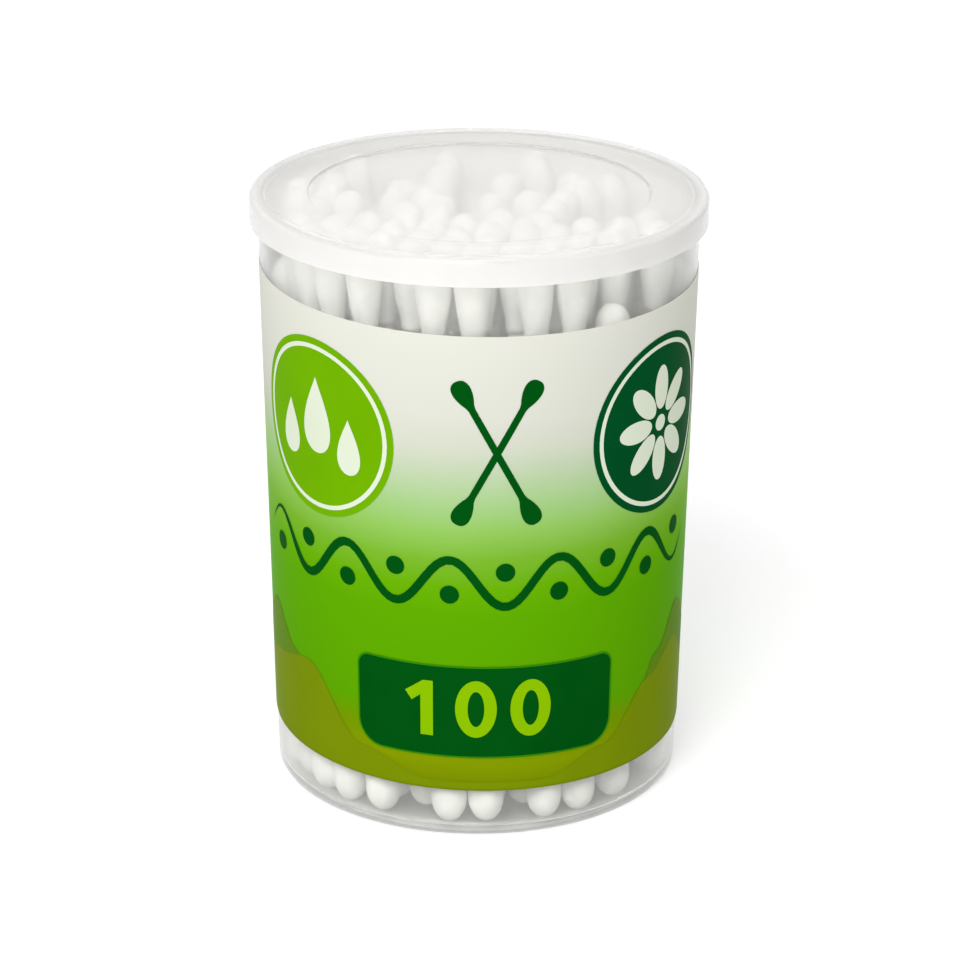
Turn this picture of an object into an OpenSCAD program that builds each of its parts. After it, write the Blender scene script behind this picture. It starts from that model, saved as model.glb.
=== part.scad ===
// A round tub of cotton buds: a thin drum with a press-on lid and a label wrapped round it.
// The lid is up (+Z), the middle of the label faces -Y, and the origin is the middle of the foot.

/* [Buds] */
// How many buds the tub holds
bud_count = 100; // [80:1:120]
// Length of one bud over both heads
bud_l = 78; // [70:0.5:84]
// Diameter of the stick
stick_d = 2.3; // [1.8:0.1:2.8]
// Diameter of a cotton head where it is thickest
head_d = 4.4; // [4:0.1:5]
// Length of a cotton head
head_l = 11.5; // [10:0.5:16]
// Thickness of the cotton where a head ends on its stick
neck_t = 0.3; // [0.2:0.05:0.5]
// Distance from a head's tip to its thickest place
belly_l = 3.5; // [3:0.25:5]
// Cotton beyond the end of the stick
tip_cover = 2.5; // [2:0.25:3.5]

/* [Bundle] */
// Share of the bed that the heads take up, gaps and all
bed_share = 0.743; // [0.71:0.001:0.745]
// Gap that is kept between two heads
head_gap = 0.14; // [0.12:0.01:0.3]
// Turn of the bundle between its foot and its top, in degrees
bundle_turn = -5; // [-8:0.5:8]
// Spread of the tops, as a share of the room that the sloping wall gives them
bundle_spread = 0.5; // [0:0.05:0.5]
// The most that a bud is lifted off the floor
bud_lift = 0.25; // [0:0.05:0.4]
// Directions of the buds against the front wall, in degrees from -Y towards +X
front_buds = [-43.5, -30.5, -8.5, 3, 21.5, 33.5, 48];
// How far the other buds stay from the front wall
front_setback = 4; // [0:0.5:4]
// Which of the front buds is the short one, counted from 0
short_bud = 6; // [0:1:6]
// How much shorter that bud is
short_by = 8.5; // [0:0.5:9]
// Behind this line the tops stand low
low_from = -5; // [-20:1:20]
// How much lower they are there
low_by = 7; // [0:0.5:8]
// Spots behind the line where the tops reach up to the lid all the same, as [x, y, radius]
high_spots = [
    [-21.5, 5.5, 6.2], [-17, 18.5, 2], [-8, 4.5, 5.5], [-7, -1.5, 4], [-5, 13.5, 2], [-4.5, 21, 2],
    [1.5, 1, 2], [3.5, 10, 2], [8, 19, 3.5], [8.5, 0.5, 3.9], [13, 9, 3], [17.5, 10, 2]
];

/* [Tub] */
// Thickness of the wall
wall_t = 0.7; // [0.5:0.05:1.2]
// Thickness of the floor
floor_t = 0.8; // [0.5:0.1:1.5]
// Height of the ring that the tub stands on
foot_h = 0.4; // [0.2:0.1:1]
// Width of that ring
foot_w = 1.4; // [0.8:0.1:3]
// Radius of the corner round the foot
corner_r = 1.6; // [1:0.1:2]
// Slope of the wall, in degrees
wall_slope = 1.41; // [0.6:0.05:2]
// Space between the buds and the lid
head_room = 0.5; // [0.45:0.05:3]
// How far the bead under the rim stands out from the wall
bead_out = 0.2; // [0.1:0.05:0.35]
// Radius of that bead
bead_r = 0.5; // [0.4:0.05:0.6]

/* [Lid] */
// Thickness of the lid's panel
lid_t = 0.8; // [0.6:0.05:1.4]
// Thickness of the lid's skirt
skirt_t = 0.75; // [0.6:0.05:1.2]
// Height of the lid, from the edge of its skirt to its top
lid_h = 3.6; // [3:0.1:6]
// Radius of the lid's outer edge
lid_round = 0.7; // [0.3:0.05:0.7]
// Radius of the shallow round panel in the lid's top
panel_r = 22.5; // [12:0.5:26]
// Depth of that panel
panel_deep = 0.25; // [0.1:0.05:0.4]
// Gap between the bead and the lid's skirt
lid_gap = 0.12; // [0.08:0.01:0.3]
// Bevel inside the edge of the skirt
skirt_bevel = 0.3; // [0.1:0.05:0.5]

/* [Label] */
// Height of the label's lower edge at the front
label_z = 6.9; // [4:0.1:12]
// Height of the label itself
label_h = 63.1; // [40:0.1:64]
// Thickness of the label
label_t = 0.12; // [0.06:0.01:0.3]
// Width of the seam where its ends overlap at the back
label_seam = 6; // [3:0.5:12]
// How much higher the label sits at the back than at the front
label_rise = 2.2; // [0:0.1:3]
// Direction of the label's lowest place, in degrees from -Y towards +X
label_turn = 20; // [-45:1:45]
// Glue between the label and the wall
glue_t = 0.02; // [0.01:0.01:0.05]

/* [Hidden] */
$fn = 96;
// Roundness of a stick and a head
bud_fn = 48;
// Rows of buds, from the middle of the bundle to the wall
rows = 6;
row_names = ["sticks_row_", "upper_heads_row_", "lower_heads_row_"];

// Clearances: a head beside the wall, a bud over the floor, and a stick in its heads
side_gap = 0.06;
floor_gap = 0.02;
seat_gap = 0.02;
// Steps of the settling, and how often the neighbours are listed again
settle_steps = 400;
relist_every = 10;
// The angle that spreads points evenly over a disc
even_turn = 137.508;
// Seed of the small differences in lift
lift_seed = 11;
// A cut runs this far past what it cuts
past = 1;

// Heights
floor_top = foot_h + floor_t;
belly_z = floor_top + floor_gap + belly_l;
rim_z = floor_top + bud_l + head_room;
top_z = rim_z + lid_t;
skirt_z = top_z - lid_h;
bead_z = rim_z - bead_r;

// The bed is the circle that the heads fill at the height of their bellies
pitch = head_d + head_gap;
bed_r = pitch / 2 * sqrt(bud_count / bed_share);
reach = bed_r - pitch / 2;

// Radii of the wall at a height
function inner_r(z) = bed_r + side_gap + (z - belly_z) * tan(wall_slope);
function outer_r(z) = inner_r(z) + wall_t;

lid_inner_r = outer_r(rim_z) + bead_out + lid_gap;
lid_r = lid_inner_r + skirt_t;
stick_l = bud_l - 2 * tip_cover;
seat_l = head_l - tip_cover;
neck_r = stick_d / 2 + neck_t;

// A place on the floor plan, by its direction from the front
function at(angle, r) = r * [sin(angle), -cos(angle)];
function direction(p) = atan2(p[0], -p[1]);

// Settling: the front buds stay, and the others push each other away until none is too close
loose_count = bud_count - len(front_buds);
start_places = concat(
    [for (angle = front_buds) at(angle, reach)],
    [for (i = [0:loose_count - 1]) at(90 + i * even_turn, reach * sqrt((i + 0.5) / loose_count))]
);
function neighbours(places) = [
    for (i = [0:len(places) - 1])
        [for (j = [0:len(places) - 1]) if (i != j && norm(places[i] - places[j]) < 1.8 * pitch) j]
];
function total(list, i = 0, so_far = [0, 0]) =
    i == len(list) ? so_far : total(list, i + 1, so_far + list[i]);
function push(places, i, near) = total([
    for (j = near)
        let (away = places[i] - places[j], d = norm(away))
        if (d < pitch) away / d * (pitch - d) / 2
]);
function room_at(p) = abs(direction(p)) < max(front_buds) ? reach - front_setback : reach;
function keep_in(p) = norm(p) > room_at(p) ? p * room_at(p) / norm(p) : p;
function step(places, i, near) =
    i < len(front_buds) ? places[i] : keep_in(places[i] + push(places, i, near));
function settle(places, steps, near) =
    steps == 0 ? places : settle(
        [for (i = [0:len(places) - 1]) step(places, i, near[i])],
        steps - 1,
        steps % relist_every == 0 ? neighbours(places) : near
    );
places = settle(start_places, settle_steps, neighbours(start_places));

// The tops of the buds: spread by the sloping wall and turned a little
bellies_apart = bud_l - 2 * belly_l;
spread = 1 + bundle_spread * bellies_apart * tan(wall_slope) / bed_r;
function turned(p, angle) = [
    p[0] * cos(angle) - p[1] * sin(angle),
    p[0] * sin(angle) + p[1] * cos(angle)
];
function top_place(p) = spread * turned(p, bundle_turn);
tops = [for (p = places) top_place(p)];

// Row of each bud, by how many lie nearer the middle
function rank(i) = len([for (p = places) if (norm(p) < norm(places[i])) 1]);
function row_of(i) = ceil(rows * sqrt((rank(i) + 1) / bud_count));

// Lift of each bud over the floor, and how much its stick is shorter than most
small_lifts = rands(0, 1, bud_count, lift_seed);
function lift_of(i) = bud_lift * small_lifts[i];
function in_high_spot(p) =
    len([for (spot = high_spots) if (norm(p - [spot[0], spot[1]]) < spot[2]) 1]) > 0;
function is_low(i) = tops[i][1] > low_from && !in_high_spot(tops[i]);
function shortfall(i) = i == short_bud ? short_by : is_low(i) ? low_by * (1 - small_lifts[i] / 4) : 0;

// Half the outline of a head, from its neck at z = 0 to its tip: it swells evenly up to the belly
taper_l = head_l - belly_l;
function head_side(share) = neck_r + (head_d / 2 - neck_r) * (1 - cos(180 * pow(share, 0.8))) / 2;
head_outline = concat(
    [for (share = [0:0.2:0.8]) [head_side(share), share * taper_l]],
    [for (a = [0:20:80]) [head_d / 2 * pow(cos(a), 0.85), taper_l + belly_l * sin(a)]],
    [[0, head_l]]
);

module cotton_head() {
    seat_r = stick_d / 2 + seat_gap;
    rotate_extrude($fn = bud_fn)
        polygon(concat([[0, seat_l + seat_gap], [seat_r, seat_l + seat_gap], [seat_r, 0]], head_outline));
}

// Puts what is drawn along +Z on the line of one bud, with z = 0 at the tip that stands on the floor
module along_bud(i) {
    foot = places[i];
    slant = (tops[i] - foot) / bellies_apart;
    translate([foot[0], foot[1], belly_z])
        rotate([0, 0, atan2(slant[1], slant[0])])
            rotate([0, atan(norm(slant)), 0])
                translate([0, 0, lift_of(i) - belly_l])
                    children();
}

module sticks(row) {
    color("ivory")
        for (i = [0:bud_count - 1]) if (row_of(i) == row)
            along_bud(i)
                translate([0, 0, tip_cover])
                    cylinder(d = stick_d, h = stick_l - shortfall(i), $fn = bud_fn);
}

module upper_heads(row) {
    color("white")
        for (i = [0:bud_count - 1]) if (row_of(i) == row)
            along_bud(i)
                translate([0, 0, bud_l - shortfall(i) - head_l])
                    cotton_head();
}

module lower_heads(row) {
    color("white")
        for (i = [0:bud_count - 1]) if (row_of(i) == row)
            along_bud(i)
                translate([0, 0, head_l])
                    mirror([0, 0, 1])
                        cotton_head();
}

// The drum, as half a section: sloping wall, rounded foot, raised floor and a bead under the rim
module tub() {
    corner_x = outer_r(corner_r) - corner_r / cos(wall_slope);
    corner_side = [corner_x + corner_r * cos(wall_slope), corner_r * (1 - sin(wall_slope))];
    foot_r = corner_x - foot_w;
    inner_corner_r = corner_r - wall_t;
    inner_corner = [inner_r(floor_top) - inner_corner_r, floor_top + inner_corner_r];
    color("gainsboro")
        rotate_extrude()
            difference() {
                union() {
                    polygon([
                        [0, 0], [corner_x, 0], [corner_x, corner_r], corner_side,
                        [outer_r(rim_z), rim_z], [0, rim_z]
                    ]);
                    translate([corner_x, corner_r])
                        circle(corner_r);
                    translate([outer_r(bead_z) + bead_out - bead_r, bead_z])
                        circle(bead_r);
                }
                polygon([
                    [0, floor_top], [inner_corner[0], floor_top], inner_corner,
                    [inner_r(inner_corner[1]), inner_corner[1]],
                    [inner_r(rim_z + past), rim_z + past], [0, rim_z + past]
                ]);
                intersection() {
                    translate(inner_corner)
                        circle(inner_corner_r);
                    translate([inner_corner[0], floor_top])
                        square(inner_corner_r);
                }
                polygon([
                    [0, -past], [foot_r + past, -past], [foot_r, 0],
                    [foot_r - foot_h, foot_h], [0, foot_h]
                ]);
            }
}

// The lid, as half a section: a panel with a shallow step, a rounded edge and a bevelled skirt
module lid() {
    round_centre = [lid_r - lid_round, top_z - lid_round];
    color("whitesmoke")
        rotate_extrude()
            difference() {
                polygon([
                    [0, rim_z], [0, top_z - panel_deep], [panel_r - panel_deep, top_z - panel_deep],
                    [panel_r, top_z], [lid_r, top_z], [lid_r, skirt_z],
                    [lid_inner_r + skirt_bevel, skirt_z], [lid_inner_r, skirt_z + skirt_bevel],
                    [lid_inner_r, rim_z]
                ]);
                difference() {
                    translate(round_centre)
                        square(lid_round + past);
                    translate(round_centre)
                        circle(lid_round);
                }
            }
}

// A sleeve round the wall, some way out from it
module sleeve(t) {
    low = label_z - past;
    high = label_z + label_h + label_rise + past;
    rotate_extrude()
        polygon([
            [outer_r(low) + glue_t, low], [outer_r(low) + glue_t + t, low],
            [outer_r(high) + glue_t + t, high], [outer_r(high) + glue_t, high]
        ]);
}

// The label: a sleeve cut by two slanted planes, twice as thick where its ends overlap
module label() {
    far = 2 * lid_r;
    tilt = atan(label_rise / (2 * outer_r(label_z)));
    color("yellowgreen")
        rotate([0, 0, label_turn])
            intersection() {
                union() {
                    sleeve(label_t);
                    intersection() {
                        sleeve(2 * label_t);
                        translate([-label_seam / 2, 0, 0])
                            cube([label_seam, far, top_z]);
                    }
                }
                translate([0, -outer_r(label_z), label_z])
                    rotate([tilt, 0, 0])
                        translate([-far / 2, -far / 2, 0])
                            cube([far, 2 * far, label_h]);
            }
}

tub();
lid();
label();
for (row = [1:rows]) {
    sticks(row);
    upper_heads(row);
    lower_heads(row);
}
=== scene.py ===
"""The looks of a cotton swab tub: materials, soft cotton heads, print, floor, light and camera."""
import math

import bmesh
import bpy
import numpy as np
from mathutils import Matrix, Vector, noise


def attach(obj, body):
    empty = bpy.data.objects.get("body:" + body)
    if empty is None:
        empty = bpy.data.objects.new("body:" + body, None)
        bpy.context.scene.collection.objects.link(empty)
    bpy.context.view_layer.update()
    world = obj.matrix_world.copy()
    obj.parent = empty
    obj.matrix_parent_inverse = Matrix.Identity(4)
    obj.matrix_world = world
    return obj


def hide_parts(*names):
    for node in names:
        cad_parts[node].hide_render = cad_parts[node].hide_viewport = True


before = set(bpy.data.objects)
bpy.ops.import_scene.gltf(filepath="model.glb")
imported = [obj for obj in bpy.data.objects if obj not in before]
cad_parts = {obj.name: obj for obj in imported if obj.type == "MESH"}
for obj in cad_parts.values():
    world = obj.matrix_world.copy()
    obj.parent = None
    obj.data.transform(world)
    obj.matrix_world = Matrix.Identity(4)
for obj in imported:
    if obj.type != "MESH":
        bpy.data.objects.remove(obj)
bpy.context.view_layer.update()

MM = 0.001

# The swabs stand in rows round the middle one, and each row has its own nodes
ROWS = sum(node.startswith("sticks_row_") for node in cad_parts)

# The camera, worked out from the outline of the tub in the photograph
PHOTO_SIDE_PX = 960
FOCAL_PX = 4017
SENSOR = 36
CAMERA_BACK = 502.8 * MM
CAMERA_HEIGHT = 232.1 * MM
CAMERA_PITCH = math.radians(20.91)
CAMERA_ROLL = math.radians(0.30)
CAMERA_YAW = math.radians(0.033)

# A low index of refraction lets the rough plastic blur only a little what is seen through it. The skin has
# the index of real plastic, and a soft shine.
PLASTIC_IOR = 1.12
SKIN_IOR = 1.5
SKIN_ROUGHNESS = 0.25

# Where the mouldings turn milky: the radii and the heights at which this starts and at which it is full
LID_RIM_RADII = (27.5 * MM, 29.6 * MM)
TUB_FOOT_RADII = (24.5 * MM, 25.5 * MM)
TUB_FOOT_HEIGHTS = (2.2 * MM, 1.4 * MM)

# Cotton heads: their shape, how far a tip stands beyond its stick, how far the lumps of the winding and
# its finer unevenness go, and what a head keeps from the tub's wall
HEAD_LENGTH = 11.5 * MM
HEAD_RADIUS = 2.34 * MM
NECK_RADIUS = 1.42 * MM
BELLY_FROM_TIP = 3.5 * MM
TIP_COVER = 2.5 * MM
LUMPS = 0.14 * MM
FINE_LUMPS = 0.05 * MM
LEAST_RADIUS = 0.02 * MM
HEAD_RINGS = 26
HEAD_SIDES = 28
WALL_CLEARANCE = 0.05 * MM

# Where the tub's mesh shows the inside of its wall: just above its floor, and outside this radius
ABOVE_FLOOR = (1.8 * MM, 3 * MM)
OUTSIDE_FLOOR = 20 * MM

# The label's film and ink: how far a layer of ink stands off, the step in millimetres at which it is cut
# to go round the label, the film's gloss and roughness, the factor that darkens the print, how many
# millimetres the background's colours wander, and the height at which lengths along the label are true
INK_LIFT = 0.03 * MM
INK_STEP = 1.2
FILM_GLOSS = 0.004
FILM_ROUGHNESS = (0.3, 0.42)
PRINT_DEPTH = 0.9
WANDER = 3
LABEL_MIDDLE = 38 * MM

# The motifs, in millimetres along the label from its front and up from its lower edge
BOX_CENTRE = (1.3, 11.3)
BOX_SIZE = (35.4, 12.6)
BOX_CORNERS = (3.4, 3.4, 1.6, 1.6)
BOX_RIM = 0.25
BOX_RIM_ROUNDING = 0.2
ONE_CENTRE = (-7.4, 11.6)
NOUGHT_CENTRES = ((-0.1, 11.8), (7.2, 11.8))
LIME_DISC = (-22.8, 47.2)
GREEN_DISC = (27.2, 47.2)
DISC_RADIUS = 12
RING_RADII = (DISC_RADIUS - 0.9, DISC_RADIUS - 1.5)
PETALS = 8
PETAL_FROM_CENTRE = 4.9
PETAL_RADII = (1.5, 3)
SWABS_CENTRE = (2.4, 47.4)
SWABS_LENGTH = 22
WAVE_REACH = 36
WAVE_HEIGHT = 29.5
WAVE_LENGTH = 14.4
WAVE_SWING = 3.2
WAVE_THICK = 1.1
DOT_RADIUS = 1.25
EDGE_MARGIN = 0.3
NEAR_GROUND = ((-70, 0), (-57, 9), (-46, 5), (-35, 11), (-26, 13), (-16, 4), (-6, 1), (9, 1), (18, 4),
               (27, 11), (34, 14), (43, 7), (55, 10), (70, 0))
FAR_GROUND = (((-64, 0), (-53, 15), (-45, 11), (-36, 18), (-29, 13), (-22, 0)),
              ((20, 0), (29, 14), (35, 19), (45, 12), (52, 16), (64, 0)))

# The label's colours by height in millimetres above its lower edge
GRADIENT = (
    (0, (124, 143, 2)), (4, (140, 162, 2)), (8, (122, 160, 2)), (11, (98, 174, 2)),
    (25, (100, 180, 2)), (29, (111, 187, 8)), (33, (130, 194, 50)), (37, (156, 211, 99)),
    (41, (178, 219, 148)), (45, (206, 224, 188)), (48, (225, 229, 211)), (52, (233, 235, 222)),
    (63, (242, 242, 231)),
)

# The studio: the world's light on the object, how far the floor goes each way, and its glow and its grey,
# which is painted dark under the tub as painted shade, where the glow ends
WORLD_LIGHT = 0.53
FLOOR_REACH = 2.5
FLOOR_GLOW = 0.38
FLOOR_GREY = 0.84
# Painted shade: the floor's grey under the tub, and the radii over which it fades into the floor's own grey
PAINTED_SHADE_UNDER_TUB = 0.2
PAINTED_SHADE_RADII = (22 * MM, 26 * MM)
GLOW_RADII = (20 * MM, 26 * MM)


def srgb(red, green, blue, depth=1.0):
    """A colour of 0 to 255 in sRGB as a shader's linear colour. A depth under 1 darkens it."""
    def linear(c):
        c /= 255
        return c / 12.92 if c <= 0.04045 else ((c + 0.055) / 1.055) ** 2.4
    return (linear(red) * depth, linear(green) * depth, linear(blue) * depth, 1)


# Materials

def new_material(name):
    """A material with its node tree, its Principled shader and its output."""
    made = bpy.data.materials.new(name)
    made.use_nodes = True
    tree = made.node_tree
    return made, tree, tree.nodes["Principled BSDF"], tree.nodes["Material Output"]


def grey(level):
    """A grey as a shader's colour."""
    return (level, level, level, 1)


def add_noise(tree, scale, detail=3, stretch=(1, 1, 1)):
    """Noise in the object's own coordinates. The scale is in features per metre."""
    place = tree.nodes.new("ShaderNodeTexCoord")
    mapping = tree.nodes.new("ShaderNodeMapping")
    mapping.inputs["Scale"].default_value = stretch
    pattern = tree.nodes.new("ShaderNodeTexNoise")
    pattern.inputs["Scale"].default_value = scale
    pattern.inputs["Detail"].default_value = detail
    tree.links.new(place.outputs["Object"], mapping.inputs["Vector"])
    tree.links.new(mapping.outputs["Vector"], pattern.inputs["Vector"])
    return pattern.outputs["Fac"]


def add_range(tree, value, low, high):
    """Turns a value of 0 to 1 into one of low to high."""
    mapped = tree.nodes.new("ShaderNodeMapRange")
    mapped.inputs["To Min"].default_value = low
    mapped.inputs["To Max"].default_value = high
    tree.links.new(value, mapped.inputs["Value"])
    return mapped.outputs["Result"]


def add_bump(tree, height, distance, strength=1.0):
    """A bump whose depth is given in metres."""
    bump = tree.nodes.new("ShaderNodeBump")
    bump.inputs["Distance"].default_value = distance
    bump.inputs["Strength"].default_value = strength
    tree.links.new(height, bump.inputs["Height"])
    return bump.outputs["Normal"]


def add_math(tree, operation, *values):
    """A Math node on sockets or numbers."""
    node = tree.nodes.new("ShaderNodeMath")
    node.operation = operation
    for socket, value in zip(node.inputs, values):
        if isinstance(value, bpy.types.NodeSocket):
            tree.links.new(value, socket)
        else:
            socket.default_value = value
    return node.outputs[0]


def add_fade(tree, share, stops):
    """Fades from colour to colour as a share grows. Each stop is a share and its colour."""
    ramp = tree.nodes.new("ShaderNodeValToRGB")
    elements = ramp.color_ramp.elements
    while len(elements) < len(stops):
        elements.new(0.5)
    for element, (at, _) in zip(elements, stops):
        element.position = at
    for element, (_, colour) in zip(elements, stops):
        element.color = colour
    tree.links.new(share, ramp.inputs["Fac"])
    return ramp.outputs["Color"]


def place_on_object(tree):
    """The X, Y and Z of the shaded place, in the object's own coordinates."""
    place = tree.nodes.new("ShaderNodeTexCoord")
    split = tree.nodes.new("ShaderNodeSeparateXYZ")
    tree.links.new(place.outputs["Object"], split.inputs["Vector"])
    return [split.outputs[axis] for axis in "XYZ"]


def share_between(tree, value, ends):
    """0 where a value is at the first end, changing to 1 at the second."""
    start, stop = ends
    return add_math(tree, "DIVIDE", add_math(tree, "SUBTRACT", value, start), stop - start)


def share_outward(tree, radii):
    """0 at one radius round the upright axis, changing to 1 at another."""
    x, y, _ = place_on_object(tree)
    squares = [add_math(tree, "MULTIPLY", side, side) for side in (x, y)]
    radius = add_math(tree, "SQRT", add_math(tree, "ADD", *squares))
    return share_between(tree, radius, radii)


def share_upward(tree, heights):
    """0 at one height, changing to 1 at another."""
    return share_between(tree, place_on_object(tree)[2], heights)


def let_lamps_through(tree, shader, output, tint):
    """Light from the lamps passes the plastic, so that what is inside is lit."""
    rays = tree.nodes.new("ShaderNodeLightPath")
    clear = tree.nodes.new("ShaderNodeBsdfTransparent")
    clear.inputs["Color"].default_value = tint
    mix = tree.nodes.new("ShaderNodeMixShader")
    tree.links.new(rays.outputs["Is Shadow Ray"], mix.inputs["Fac"])
    tree.links.new(shader.outputs["BSDF"], mix.inputs[1])
    tree.links.new(clear.outputs["BSDF"], mix.inputs[2])
    tree.links.new(mix.outputs["Shader"], output.inputs["Surface"])


def plastic(name, colour, roughness, haze, lamp_light, clear, thick_clear, thick_share):
    """Natural moulded plastic: clear is the share that lets light through, and the rest is milky.

    The roughness goes up and down by haze, and lamp_light is how much of the lamps' light gets in.
    Where the moulding is thick, thick_share rises to 1 and the clear share goes to thick_clear.
    """
    made, tree, shader, output = new_material(name)
    shader.inputs["Base Color"].default_value = colour
    shader.inputs["IOR"].default_value = PLASTIC_IOR
    shader.inputs["Coat Weight"].default_value = 1
    shader.inputs["Coat IOR"].default_value = SKIN_IOR
    shader.inputs["Coat Roughness"].default_value = SKIN_ROUGHNESS
    tree.links.new(add_range(tree, thick_share(tree), clear, thick_clear),
                   shader.inputs["Transmission Weight"])
    uneven = add_noise(tree, 180, detail=4, stretch=(1, 1, 0.4))
    tree.links.new(add_range(tree, uneven, roughness - haze, roughness + haze), shader.inputs["Roughness"])
    ripples = add_noise(tree, 60, detail=2, stretch=(1, 1, 0.25))
    tree.links.new(add_bump(tree, ripples, 0.15 * MM, 0.3), shader.inputs["Normal"])
    let_lamps_through(tree, shader, output, grey(lamp_light))
    return made


def lid_rim(tree):
    """The share of rim in a place on the lid: 0 on its panel and 1 at its skirt."""
    return share_outward(tree, LID_RIM_RADII)


def tub_foot(tree):
    """The share of foot in a place on the tub: 1 only where its wall turns into its floor."""
    low = share_upward(tree, TUB_FOOT_HEIGHTS)
    outer = share_outward(tree, TUB_FOOT_RADII)
    return add_math(tree, "MULTIPLY", low, outer)


def cotton_material():
    """Wound cotton: white, soft-edged, with fine fibres wound round the stick."""
    made, tree, shader, _ = new_material("cotton")
    whites = ((0.3, srgb(245, 244, 240)), (0.65, srgb(253, 253, 251)))
    shade = add_fade(tree, add_noise(tree, 700, detail=4), whites)
    tree.links.new(shade, shader.inputs["Base Color"])
    shader.inputs["Roughness"].default_value = 0.95
    shader.inputs["Specular IOR Level"].default_value = 0.1
    shader.inputs["Sheen Weight"].default_value = 0.35
    shader.inputs["Sheen Roughness"].default_value = 0.6
    shader.inputs["Subsurface Weight"].default_value = 0.35
    shader.inputs["Subsurface Radius"].default_value = (1, 1, 1)
    shader.inputs["Subsurface Scale"].default_value = 0.8 * MM
    fibres = add_noise(tree, 2600, detail=5, stretch=(1, 1, 2.2))
    tree.links.new(add_bump(tree, fibres, 0.12 * MM, 0.6), shader.inputs["Normal"])
    return made


def paper_stick_material():
    """Rolled paper with a faint grain along the stick."""
    made, tree, shader, _ = new_material("stick_paper")
    grain = add_noise(tree, 1500, detail=3, stretch=(1, 1, 0.15))
    shade = add_fade(tree, grain, ((0, srgb(220, 214, 202)), (1, srgb(240, 235, 224))))
    tree.links.new(shade, shader.inputs["Base Color"])
    shader.inputs["Roughness"].default_value = 0.8
    tree.links.new(add_bump(tree, grain, 0.05 * MM, 0.4), shader.inputs["Normal"])
    return made


def height_on_label(tree, label):
    """Height above the label's slanted lower edge, in millimetres, from the place on the object."""
    x, y, z = place_on_object(tree)
    edge = add_math(tree, "MULTIPLY_ADD", x, label["edge_x"], label["edge_0"])
    edge = add_math(tree, "MULTIPLY_ADD", y, label["edge_y"], edge)
    return add_math(tree, "DIVIDE", add_math(tree, "SUBTRACT", z, edge), MM)


def finish_as_film(tree, shader):
    """The label's coating: a faint gloss with the slight unevenness of film on plastic."""
    shader.inputs["Specular IOR Level"].default_value = FILM_GLOSS
    uneven = add_noise(tree, 90, detail=3)
    tree.links.new(add_range(tree, uneven, *FILM_ROUGHNESS), shader.inputs["Roughness"])
    waves = add_noise(tree, 70, detail=2, stretch=(1, 1, 0.5))
    tree.links.new(add_bump(tree, waves, 0.1 * MM, 0.3), shader.inputs["Normal"])


def label_material(label):
    """Print that fades from cream at the top through green to olive at the foot."""
    made, tree, shader, _ = new_material("label_print")
    height = height_on_label(tree, label)
    top = GRADIENT[-1][0]
    uneven = add_math(tree, "SUBTRACT", add_noise(tree, 45, detail=2), 0.5)
    wander = add_math(tree, "MULTIPLY", uneven, WANDER)
    share = add_math(tree, "DIVIDE", add_math(tree, "ADD", height, wander), top)
    stops = [(at / top, srgb(*colour, PRINT_DEPTH)) for at, colour in GRADIENT]
    tree.links.new(add_fade(tree, share, stops), shader.inputs["Base Color"])
    finish_as_film(tree, shader)
    return made


def ink_material(name, colour, darker):
    """One printed colour, a little uneven, under the label's coating."""
    made, tree, shader, _ = new_material(name)
    shades = ((0, srgb(*darker, PRINT_DEPTH)), (1, srgb(*colour, PRINT_DEPTH)))
    shade = add_fade(tree, add_noise(tree, 120, detail=4), shades)
    tree.links.new(shade, shader.inputs["Base Color"])
    finish_as_film(tree, shader)
    return made


# Measures taken from the CAD frame

def corners_of(node):
    """A CAD node's vertices as an array of points."""
    return np.array([v.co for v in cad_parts[node].data.vertices], float).reshape(-1, 3)


def radius_of(points):
    """Each point's distance from the upright axis."""
    return np.hypot(points[:, 0], points[:, 1])


def measure_label():
    """The label's cone and the plane of its lower edge, from its CAD mesh."""
    points = corners_of("label")
    front = points[points[:, 1] < 0]
    radius = radius_of(front)
    middle = front[:, 2].mean()
    low, high = front[front[:, 2] < middle], front[front[:, 2] > middle]
    r_low, r_high = radius[front[:, 2] < middle], radius[front[:, 2] > middle]
    a, b = r_low.argmax(), r_high.argmax()
    slope = (r_high[b] - r_low[a]) / (high[b, 2] - low[a, 2])
    sector = np.floor(np.degrees(np.arctan2(points[:, 1], points[:, 0])) / 10)
    edge = np.array([points[sector == s][points[sector == s][:, 2].argmin()] for s in np.unique(sector)])
    flat = np.column_stack((np.ones(len(edge)), edge[:, 0], edge[:, 1]))
    edge_0, edge_x, edge_y = np.linalg.lstsq(flat, edge[:, 2], rcond=None)[0]
    return {
        "slope": float(slope), "foot_radius": float(r_low[a] - slope * low[a, 2]),
        "edge_0": float(edge_0), "edge_x": float(edge_x), "edge_y": float(edge_y),
    }


def measure_wall():
    """The inside of the tub's wall, as a radius at height 0 and its slope."""
    points = corners_of("tub")
    radius = radius_of(points)
    top = radius[points[:, 2] > points[:, 2].max() - 0.1 * MM].min()
    low_band = (points[:, 2] > ABOVE_FLOOR[0]) & (points[:, 2] < ABOVE_FLOOR[1])
    near_floor = low_band & (radius > OUTSIDE_FLOOR)
    low = radius[near_floor].min()
    low_z = points[near_floor][radius[near_floor].argmin(), 2]
    slope = (top - low) / (points[:, 2].max() - low_z)
    return {"slope": float(slope), "foot_radius": float(low - slope * low_z)}


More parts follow.
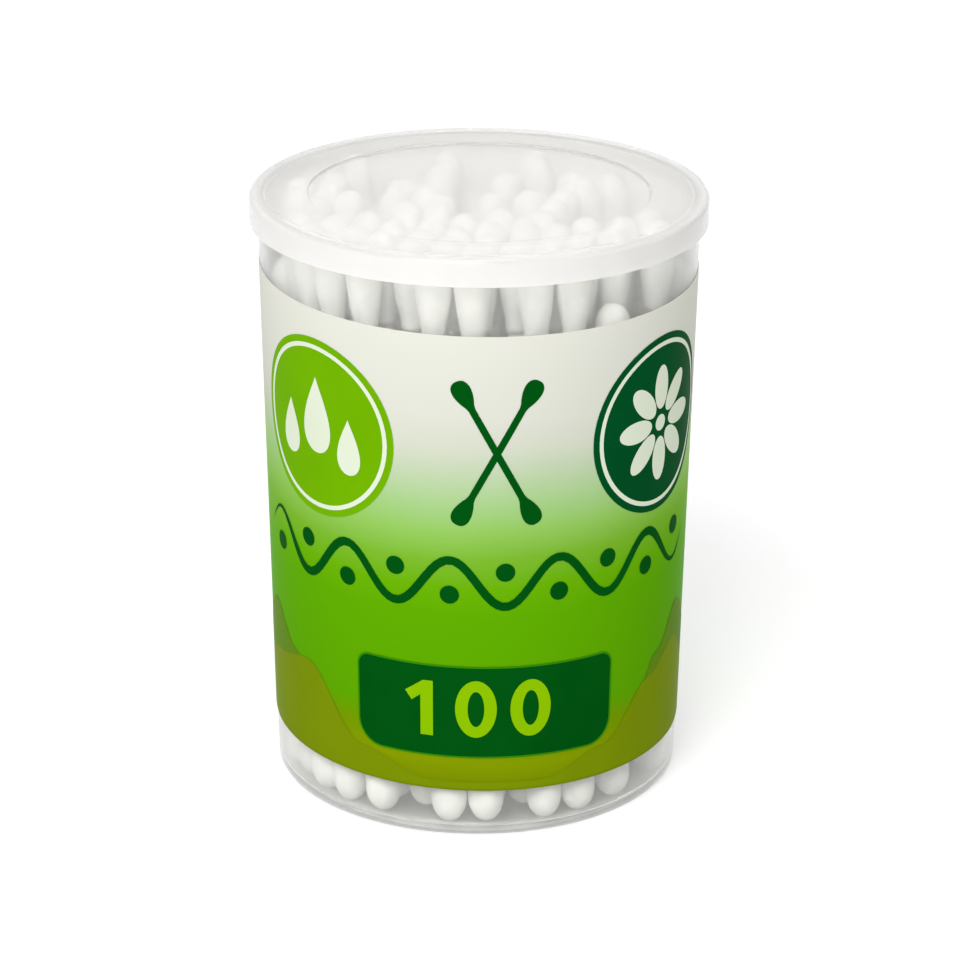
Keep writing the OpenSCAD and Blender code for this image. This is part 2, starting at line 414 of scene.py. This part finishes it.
def stick_ends(node):
    """The two ends of every stick in a CAD node, lowest first."""
    bm = bmesh.new()
    bm.from_mesh(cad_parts[node].data)
    bmesh.ops.remove_doubles(bm, verts=bm.verts, dist=0.001 * MM)
    seen, ends = set(), []
    for first in bm.verts:
        if first in seen:
            continue
        seen.add(first)
        island, todo = [], [first]
        while todo:
            vert = todo.pop()
            island.append(vert.co.copy())
            for edge in vert.link_edges:
                other = edge.other_vert(vert)
                if other not in seen:
                    seen.add(other)
                    todo.append(other)
        middle = sum((co.z for co in island)) / len(island)
        halves = [[co for co in island if co.z < middle], [co for co in island if co.z >= middle]]
        ends.append([sum(half, Vector()) / len(half) for half in halves])
    bm.free()
    return sorted(ends, key=lambda pair: tuple(pair[0]))


# Cotton heads

def head_radius(t):
    """Radius of a head at t, from 0 at its neck to 1 at its tip: round at the tip, tapering to the neck."""
    beyond_belly = BELLY_FROM_TIP - (1 - t) * HEAD_LENGTH
    if beyond_belly < 0:
        share = t * HEAD_LENGTH / (HEAD_LENGTH - BELLY_FROM_TIP)
        return NECK_RADIUS + (HEAD_RADIUS - NECK_RADIUS) * (1 - math.cos(math.pi * share ** 0.8)) / 2
    angle = math.asin(min(1, beyond_belly / BELLY_FROM_TIP))
    return HEAD_RADIUS * math.cos(angle) ** 0.85


def head_stations():
    """Places along a head, close together at its round tip."""
    return [math.sin(math.pi / 2 * i / HEAD_RINGS) for i in range(HEAD_RINGS + 1)]


def head_lumps(t, turn, seed):
    """How far a head's skin stands out at t and at a turn round it. Each seed gives another head."""
    spot = Vector((math.cos(turn), math.sin(turn), 2.2 * t)) * 1.3
    spot += Vector((seed * 7.3, seed * 1.9, 0))
    return LUMPS * noise.noise(spot) + FINE_LUMPS * noise.noise(spot * 4)


def add_head(bm, neck, tip, seed, wall):
    """One wound cotton head from its neck to its tip, uneven, and pressed flat where it meets the wall."""
    along = (tip - neck).normalized()
    across = along.orthogonal().normalized()
    side = along.cross(across)
    rings = []
    for t in head_stations():
        ring = []
        for k in range(HEAD_SIDES):
            turn = 2 * math.pi * k / HEAD_SIDES
            out = across * math.cos(turn) + side * math.sin(turn)
            radius = head_radius(t) + head_lumps(t, turn, seed) * min(1, (1 - t) * 8)
            co = neck.lerp(tip, t) + out * max(radius, LEAST_RADIUS)
            limit = wall["foot_radius"] + wall["slope"] * co.z - WALL_CLEARANCE
            reach = math.hypot(co.x, co.y)
            if reach > limit:
                co.x *= limit / reach
                co.y *= limit / reach
            ring.append(bm.verts.new(co))
        rings.append(ring)
    for low, high in zip(rings, rings[1:]):
        for k in range(HEAD_SIDES):
            n = (k + 1) % HEAD_SIDES
            bm.faces.new((low[k], low[n], high[n], high[k]))
    bm.faces.new(rings[-1])
    bm.faces.new(rings[0][::-1])


def mesh_object(name, bm, mat, smooth=True):
    """Makes an object of what bm holds."""
    mesh = bpy.data.meshes.new(name)
    bmesh.ops.recalc_face_normals(bm, faces=bm.faces)
    bm.to_mesh(mesh)
    bm.free()
    for face in mesh.polygons:
        face.use_smooth = smooth
    made = bpy.data.objects.new(name, mesh)
    bpy.context.scene.collection.objects.link(made)
    made.data.materials.append(mat)
    return made


def make_heads(cotton):
    """Soft heads on both ends of the sticks, row by row, in place of the CAD heads."""
    wall = measure_wall()
    for row in range(1, ROWS + 1):
        sticks = stick_ends(f"sticks_row_{row}")
        for kind, which in (("upper", 1), ("lower", 0)):
            bm = bmesh.new()
            for i, ends in enumerate(sticks):
                along = (ends[which] - ends[1 - which]).normalized()
                tip = ends[which] + along * TIP_COVER
                add_head(bm, tip - along * HEAD_LENGTH, tip, row * 100 + i * 2 + which, wall)
            heads = mesh_object(f"{kind}_cotton_{row}", bm, cotton)
            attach(heads, "tub")
            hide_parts(f"{kind}_heads_row_{row}")


# The label's print: flat outlines in millimetres, wrapped on the label

def rounded_box(centre, size, radii, steps=10):
    """A box with round corners: the radii run lower left, lower right, upper right, upper left."""
    (cx, cy), (w, h) = centre, size
    corners = ((-1, -1, 180), (1, -1, 270), (1, 1, 0), (-1, 1, 90))
    points = []
    for (sx, sy, start), r in zip(corners, radii):
        for i in range(steps + 1):
            a = math.radians(start + 90 * i / steps)
            x, y = cx + sx * (w / 2 - r), cy + sy * (h / 2 - r)
            points.append((x + r * math.cos(a), y + r * math.sin(a)))
    return points


def ellipse(centre, radii, turn=0, steps=72):
    """An ellipse, turned by so many degrees."""
    c, s = math.cos(math.radians(turn)), math.sin(math.radians(turn))
    points = []
    for i in range(steps):
        a = 2 * math.pi * i / steps
        x, y = radii[0] * math.cos(a), radii[1] * math.sin(a)
        points.append((centre[0] + x * c - y * s, centre[1] + x * s + y * c))
    return points


def moved(points, centre, turn=0):
    """Points turned by so many degrees and moved to a centre."""
    c, s = math.cos(math.radians(turn)), math.sin(math.radians(turn))
    return [(centre[0] + x * c - y * s, centre[1] + x * s + y * c) for x, y in points]


def swab_outline(centre, length, turn, stick=0.45, head=1.25, head_length=5.2, steps=24):
    """A swab seen from the side, as one outline along its length."""
    def half_width(x):
        from_end = length / 2 - abs(x)
        share = min(1, from_end / head_length * 1.15)
        bulge = head * math.sin(math.pi * share ** 0.6) ** 0.7
        return max(bulge, min(stick, from_end * 2))
    xs = [-length / 2 * math.cos(math.pi * i / (2 * steps)) for i in range(2 * steps + 1)]
    up = [(x, half_width(x)) for x in xs]
    down = [(x, -half_width(x)) for x in reversed(xs[1:-1])]
    return moved(up + down, centre, turn)


def drop_outline(centre, height, width, steps=48):
    """A drop that stands on its round end."""
    points = []
    for i in range(steps):
        a = 2 * math.pi * i / steps
        points.append((width / 2 * math.sin(a) * math.sin(a / 2) ** 1.3, height / 2 * math.cos(a)))
    return moved(points, centre)


def wave_band(u_from, u_to, v, swing, length, thick, steps=90):
    """A sinuous stroke that thins out at both ends."""
    up, down = [], []
    for i in range(steps + 1):
        t = i / steps
        u = u_from + (u_to - u_from) * t
        a = 2 * math.pi * (u - u_from) / length
        y = v + swing * math.sin(a)
        lean = swing * 2 * math.pi / length * math.cos(a)
        half = thick / 2 * min(1, 8 * t, 8 * (1 - t)) * math.hypot(1, lean) + 0.02
        up.append((u, y + half))
        down.append((u, y - half))
    return up + down[::-1]


def cut_along(bm, axis, step):
    """Cuts a flat mesh into strips, so that it can follow the round label."""
    values = [v.co[axis] for v in bm.verts]
    at = math.floor(min(values) / step) * step + step
    while at < max(values):
        normal, point = Vector((0, 0, 0)), Vector((0, 0, 0))
        normal[axis], point[axis] = 1, at
        everything = bm.verts[:] + bm.edges[:] + bm.faces[:]
        bmesh.ops.bisect_plane(bm, geom=everything, plane_co=point, plane_no=normal)
        at += step


def wrap_on_label(bm, label, lift):
    """Lays a flat mesh on the label: x runs along it from the front, y up from its lower edge."""
    mid_radius = label["foot_radius"] + label["slope"] * LABEL_MIDDLE
    for vert in bm.verts:
        angle = vert.co.x * MM / mid_radius
        x, y = math.sin(angle), -math.cos(angle)
        z = label["edge_0"] + vert.co.y * MM
        for _ in range(3):
            radius = label["foot_radius"] + label["slope"] * z
            z = label["edge_0"] + (label["edge_x"] * x + label["edge_y"] * y) * radius + vert.co.y * MM
        radius = label["foot_radius"] + label["slope"] * z + lift
        vert.co = Vector((x * radius, y * radius, z))


def print_shape(name, outlines, ink, label, layer=1):
    """A printed field of one colour. An outline inside another is a hole in it."""
    curve = bpy.data.curves.new(name, "CURVE")
    curve.dimensions = "2D"
    curve.fill_mode = "BOTH"
    for points in outlines:
        spline = curve.splines.new("POLY")
        spline.points.add(len(points) - 1)
        for point, (x, y) in zip(spline.points, points):
            point.co = (x, y, 0, 1)
        spline.use_cyclic_u = True
    flat = bpy.data.objects.new(name + "_flat", curve)
    bpy.context.scene.collection.objects.link(flat)
    bm = bmesh.new()
    bm.from_mesh(flat.to_mesh())
    flat.to_mesh_clear()
    bpy.data.objects.remove(flat)
    bpy.data.curves.remove(curve)
    cut_along(bm, 0, INK_STEP)
    cut_along(bm, 1, INK_STEP * 4)
    wrap_on_label(bm, label, INK_LIFT * layer)
    shape = mesh_object(name, bm, ink)
    outward = sum(1 if face.normal.dot(Vector((face.center.x, face.center.y, 0))) > 0 else -1
                  for face in shape.data.polygons)
    if outward < 0:
        shape.data.flip_normals()
    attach(shape, "tub")
    return shape


def digit_one(centre):
    """The digit 1, with its flag."""
    flag = [(0.25, 3.9), (-2.2, 2.15), (-1.3, 0.9), (-0.1, 1.8)]
    return moved([(-0.1, -3.9), (1.6, -3.9), (1.6, 3.9)] + flag, centre)


def digit_nought(centre):
    """The digit 0, as its outer and inner outline."""
    return [ellipse(centre, (2.75, 4.05)), ellipse(centre, (1.1, 2.5))]


def ridge_outline(heights, steps=10):
    """Rolling ground on the label's lower edge, smooth between places that have their heights given."""
    points = []
    for (u_from, from_height), (u_to, to_height) in zip(heights, heights[1:]):
        for i in range(steps):
            share = (1 - math.cos(math.pi * i / steps)) / 2
            u = u_from + (u_to - u_from) * i / steps
            points.append((u, EDGE_MARGIN + from_height + (to_height - from_height) * share))
    return points + [(heights[-1][0], EDGE_MARGIN)]


def disc_ring(centre):
    """A thin ring just inside a disc's edge."""
    return [ellipse(centre, (radius, radius)) for radius in RING_RADII]


def make_inks():
    """The inks, each with its lighter and its darker shade."""
    shades = {
        "dark_green": ((3, 94, 20), (0, 80, 17)),
        "deep_green": ((2, 90, 42), (0, 76, 34)),
        "edge_green": ((60, 150, 12), (48, 136, 8)),
        "lime": ((126, 192, 4), (110, 180, 2)),
        "bright_lime": ((152, 207, 4), (142, 198, 2)),
        "olive": ((136, 158, 10), (123, 147, 6)),
        "far_olive": ((112, 152, 28), (98, 140, 18)),
        "white": ((246, 252, 236), (232, 246, 214)),
    }
    return {name: ink_material("ink_" + name, *pair) for name, pair in shades.items()}


def print_ground(inks, label):
    """Rolling ground at the label's foot, in two shades of olive."""
    print_shape("print_far_ground", [ridge_outline(far) for far in FAR_GROUND], inks["far_olive"], label)
    print_shape("print_ground", [ridge_outline(NEAR_GROUND)], inks["olive"], label, layer=1.5)


def print_number(inks, label):
    """The number of swabs, in its box with a thin light rim."""
    rim_size = [side + 2 * BOX_RIM for side in BOX_SIZE]
    rim_corners = [radius + BOX_RIM_ROUNDING for radius in BOX_CORNERS]
    rim = [rounded_box(BOX_CENTRE, rim_size, rim_corners)]
    print_shape("print_number_rim", rim, inks["edge_green"], label, layer=2)
    number_box = [rounded_box(BOX_CENTRE, BOX_SIZE, BOX_CORNERS)]
    print_shape("print_number_box", number_box, inks["dark_green"], label, layer=2.5)
    digits = [digit_one(ONE_CENTRE)]
    for centre in NOUGHT_CENTRES:
        digits += digit_nought(centre)
    print_shape("print_number", digits, inks["bright_lime"], label, layer=3)


def print_drops(inks, label):
    """A lime disc with a ring and three drops."""
    print_shape("print_lime_disc", [ellipse(LIME_DISC, (DISC_RADIUS, DISC_RADIUS))], inks["lime"], label)
    x, y = LIME_DISC
    drops = [
        drop_outline((x - 5.4, y - 1.4), height=7.6, width=5),
        drop_outline((x, y + 1.6), height=10.4, width=6.8),
        drop_outline((x + 5.4, y - 1.4), height=7.6, width=5),
    ]
    print_shape("print_drops", disc_ring(LIME_DISC) + drops, inks["white"], label, layer=2)


def print_rosette(inks, label):
    """A dark green disc with a ring and a rosette of petals round a dot."""
    disc = [ellipse(GREEN_DISC, (DISC_RADIUS, DISC_RADIUS))]
    print_shape("print_green_disc", disc, inks["deep_green"], label)
    petals = []
    for turn in range(0, 360, 360 // PETALS):
        centre = moved([(0, PETAL_FROM_CENTRE)], GREEN_DISC, turn)[0]
        petals.append(ellipse(centre, PETAL_RADII, turn))
    rosette = disc_ring(GREEN_DISC) + petals + [ellipse(GREEN_DISC, (1.1, 1.1))]
    print_shape("print_rosette", rosette, inks["white"], label, layer=2)


def print_swabs(inks, label):
    """Two crossed swabs."""
    one, other = (swab_outline(SWABS_CENTRE, SWABS_LENGTH, turn) for turn in (62, 118))
    print_shape("print_swab_a", [one], inks["dark_green"], label)
    print_shape("print_swab_b", [other], inks["dark_green"], label, layer=1.5)


def print_wave(inks, label):
    """A wave with a dot in each of its hollows."""
    wave = wave_band(-WAVE_REACH, WAVE_REACH, WAVE_HEIGHT, WAVE_SWING, WAVE_LENGTH, WAVE_THICK)
    print_shape("print_wave", [wave], inks["dark_green"], label, layer=2)
    half_wave = WAVE_LENGTH / 2
    dots = []
    for i in range(round(2 * WAVE_REACH / half_wave)):
        rise = -WAVE_SWING / 2 if i % 2 == 0 else WAVE_SWING / 2
        centre = (-WAVE_REACH + (i + 0.5) * half_wave, WAVE_HEIGHT + rise)
        dots.append(ellipse(centre, (DOT_RADIUS, DOT_RADIUS)))
    print_shape("print_dots", dots, inks["dark_green"], label, layer=2)


def make_print(label):
    """The printed fields, motifs and the number of swabs."""
    inks = make_inks()
    for print_motif in (print_ground, print_number, print_drops, print_rosette, print_swabs, print_wave):
        print_motif(inks, label)


# Floor, lights and camera

def make_floor():
    """A pale floor that fills the view and keeps the object's shadow, with painted shade under the tub."""
    made, tree, shader, output = new_material("floor_paper")
    # The floor's grey is painted dark under the tub, as painted shade
    greys_with_painted_shade = ((0, grey(PAINTED_SHADE_UNDER_TUB)), (1, grey(FLOOR_GREY)))
    shade = add_fade(tree, share_outward(tree, PAINTED_SHADE_RADII), greys_with_painted_shade)
    tree.links.new(shade, shader.inputs["Base Color"])
    shader.inputs["Roughness"].default_value = 0.9
    shader.inputs["Specular IOR Level"].default_value = 0.1
    grain = add_noise(tree, 400, detail=3)
    tree.links.new(add_bump(tree, grain, 0.02 * MM, 0.2), shader.inputs["Normal"])
    glow = tree.nodes.new("ShaderNodeEmission")
    clear_of_tub = add_range(tree, share_outward(tree, GLOW_RADII), 0, 1)
    glowing = add_math(tree, "MULTIPLY", clear_of_tub, seen_directly(tree))
    tree.links.new(add_range(tree, glowing, 0, FLOOR_GLOW), glow.inputs["Strength"])
    both = tree.nodes.new("ShaderNodeAddShader")
    tree.links.new(shader.outputs["BSDF"], both.inputs[0])
    tree.links.new(glow.outputs["Emission"], both.inputs[1])
    tree.links.new(both.outputs["Shader"], output.inputs["Surface"])
    bm = bmesh.new()
    bmesh.ops.create_grid(bm, x_segments=8, y_segments=8, size=FLOOR_REACH)
    floor = mesh_object("floor", bm, made)


def seen_directly(tree):
    """1 for what the camera sees, also in and through plastic, and 0 for what lights matt surfaces."""
    rays = tree.nodes.new("ShaderNodeLightPath")
    seen = add_math(tree, "MAXIMUM", rays.outputs["Is Camera Ray"], rays.outputs["Is Transmission Ray"])
    seen = add_math(tree, "MAXIMUM", seen, rays.outputs["Is Glossy Ray"])
    return add_math(tree, "MULTIPLY", seen, add_math(tree, "LESS_THAN", rays.outputs["Diffuse Depth"], 0.5))


def make_world():
    """A white studio, whose light on the object is dimmer than its look."""
    world = bpy.data.worlds.new("studio")
    world.use_nodes = True
    back = world.node_tree.nodes["Background"]
    back.inputs["Color"].default_value = grey(1)
    strength = add_range(world.node_tree, seen_directly(world.node_tree), WORLD_LIGHT, 1)
    world.node_tree.links.new(strength, back.inputs["Strength"])
    bpy.context.scene.world = world


def make_lamp(name, place, size, power, aim=(0, 0, 0.04)):
    """A square soft box that points at the object."""
    data = bpy.data.lights.new(name, "AREA")
    data.shape = "SQUARE"
    data.size = size
    data.energy = power
    lamp = bpy.data.objects.new(name, data)
    lamp.location = place
    lamp.rotation_euler = (Vector(aim) - Vector(place)).to_track_quat("-Z", "Y").to_euler()
    bpy.context.scene.collection.objects.link(lamp)


def make_camera():
    """The camera at the photograph's viewpoint."""
    data = bpy.data.cameras.new("camera")
    data.sensor_width = SENSOR
    data.lens = FOCAL_PX / PHOTO_SIDE_PX * SENSOR
    data.clip_start = 0.01
    camera = bpy.data.objects.new("camera", data)
    turn = (Matrix.Rotation(-CAMERA_YAW, 4, "Z")
            @ Matrix.Rotation(math.pi / 2 - CAMERA_PITCH, 4, "X")
            @ Matrix.Rotation(CAMERA_ROLL, 4, "Z"))
    camera.matrix_world = Matrix.Translation((0, -CAMERA_BACK, CAMERA_HEIGHT)) @ turn
    bpy.context.scene.collection.objects.link(camera)
    bpy.context.scene.camera = camera


def dress(node, mat):
    """Gives a CAD node its material."""
    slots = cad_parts[node].data.materials
    slots.clear()
    slots.append(mat)


make_camera()
make_world()
make_floor()
make_lamp("key", place=(-0.28, -0.8, 0.8), size=0.5, power=7.2)
make_lamp("top", place=(0.3, -0.05, 0.95), size=0.6, power=1)

label_shape = measure_label()
dress("tub", plastic("tub_plastic", srgb(246, 246, 243), roughness=0.22, haze=0.04, lamp_light=0.91,
                     clear=0.88, thick_clear=0.76, thick_share=tub_foot))
dress("lid", plastic("lid_plastic", srgb(245, 244, 242), roughness=0.26, haze=0.01, lamp_light=0.92,
                     clear=0.8, thick_clear=0.3, thick_share=lid_rim))
dress("label", label_material(label_shape))
stick_paper = paper_stick_material()
for row in range(1, ROWS + 1):
    dress(f"sticks_row_{row}", stick_paper)
make_heads(cotton_material())
make_print(label_shape)

scene = bpy.context.scene
scene.view_settings.view_transform = "Standard"
